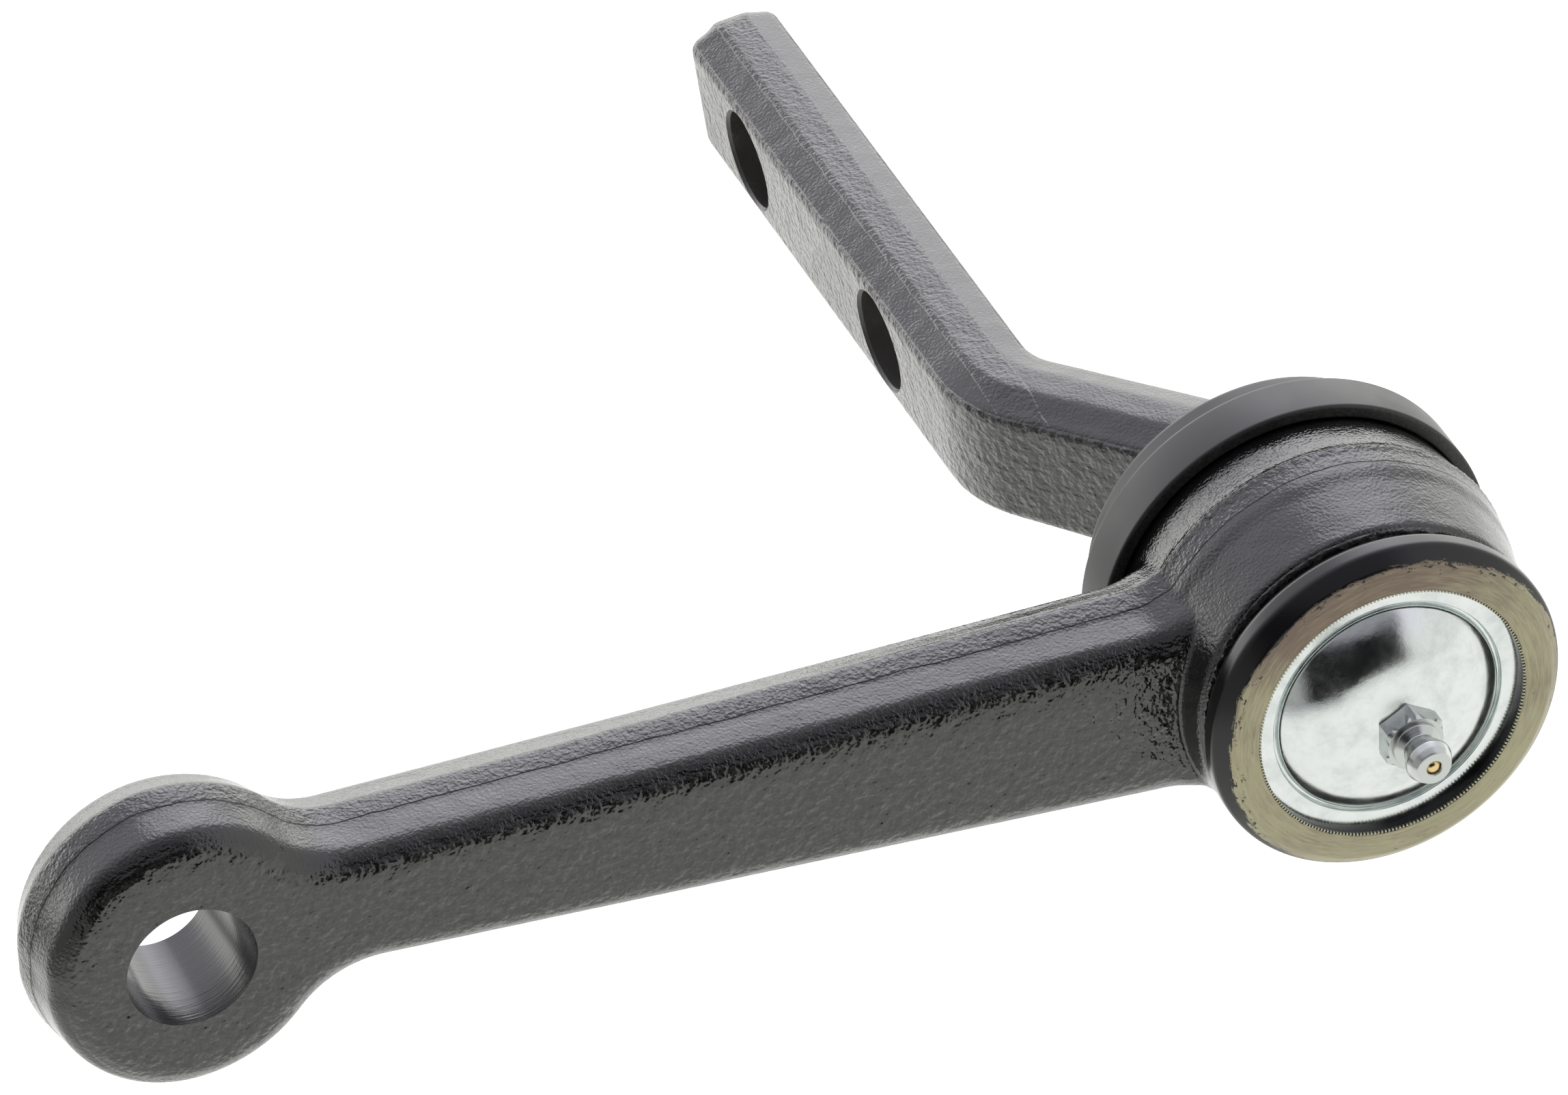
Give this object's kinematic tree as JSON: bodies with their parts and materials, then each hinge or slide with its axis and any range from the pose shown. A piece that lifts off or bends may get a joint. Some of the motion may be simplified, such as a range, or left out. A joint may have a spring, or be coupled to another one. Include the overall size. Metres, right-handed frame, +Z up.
{
  "type": "steering idler arm",
  "caption": "Forged steering arm with a tapered eye, swinging on a forged bracket that bolts to a frame rail, with a dust seal, a rolled-in cover and a grease fitting.",
  "frame": {"origin": "middle of the two bolt holes, on the bracket's mounting face", "axes": "+X from the mounting face into the bracket, away from the frame rail; the pivot axis runs along Y, and -Y points along it towards the cover; +Z up"},
  "size_m": [0.2109, 0.1972, 0.0693],
  "materials": {
    "arm_coat": "satin black coat over a shot-blasted forging",
    "bracket_coat": "satin black coat over a shot-blasted forging",
    "seal_rubber": "smooth satin",
    "bearing_bronze": "sintered, matt",
    "bright_steel": "ground",
    "spring_steel": "drawn",
    "nut_steel": "satin",
    "zinc_plate": "bright zinc plate",
    "fitting_zinc": "bright zinc plate",
    "ball_brass": "polished"
  },
  "bodies": {
    "bracket": {"bracket_forging": "bracket_coat", "dust_seal": "seal_rubber", "bearing_cone": "bright_steel", "preload_spring": "spring_steel", "flat_washer": "bright_steel", "stud_nut": "nut_steel"},
    "arm": {"arm_forging": "arm_coat", "lower_bearing": "bearing_bronze", "upper_bearing": "bearing_bronze", "cover_plate": "zinc_plate", "grease_fitting": "fitting_zinc", "check_spring": "spring_steel"},
    "check_ball": {"check_ball": "ball_brass"}
  },
  "joints": [
    {"name": "arm_swing", "type": "hinge", "parent": "bracket", "child": "arm", "pos_m": [0.0276, -0.1363, 0], "axis": [0, -1, 0], "continuous": true},
    {"name": "check_ball_travel", "type": "slide", "parent": "arm", "child": "check_ball", "axis": [0, 1, 0], "range_m": [0, 0.0008], "stiffness_N_per_m": 300, "springref_m": -0.0005, "deforming": ["check_spring"]}
  ]
}
